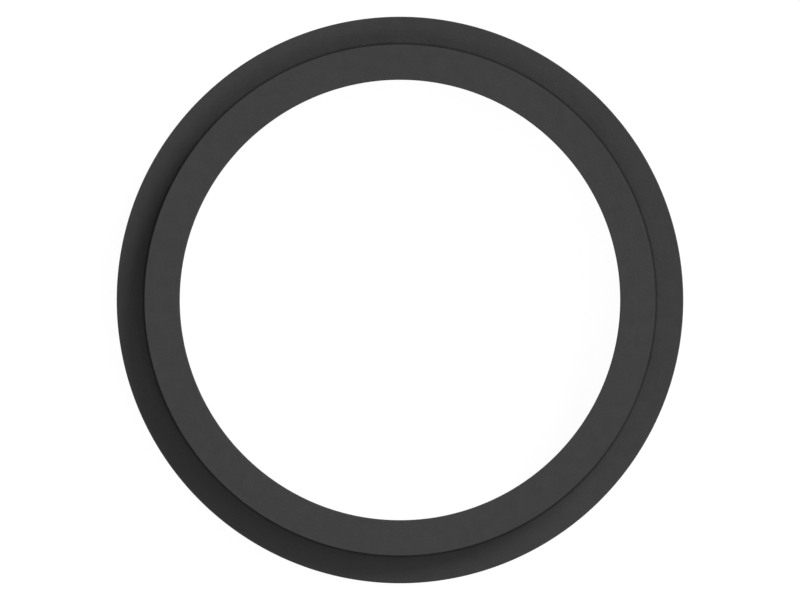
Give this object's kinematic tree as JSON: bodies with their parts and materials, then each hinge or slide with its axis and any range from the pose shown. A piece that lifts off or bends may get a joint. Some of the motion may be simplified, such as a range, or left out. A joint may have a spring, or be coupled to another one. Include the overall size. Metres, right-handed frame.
{
  "type": "sanitary clamp gasket",
  "caption": "Flat black rubber ring for a sanitary clamp joint: a thick inner land round the bore, stepped down on both faces to a thin outer clamping rim.",
  "frame": {"origin": "on the bore axis, in the plane of the lower land face that the ring lies on", "axes": "+Z along the bore axis, up out of the upper land face; the ring is round, so +X and +Y are any two perpendicular radii"},
  "size_m": [0.0776, 0.0776, 0.0064],
  "materials": {
    "black_rubber": "matte moulded elastomer"
  },
  "bodies": {
    "root": {"gasket": "black_rubber"}
  },
  "joints": []
}
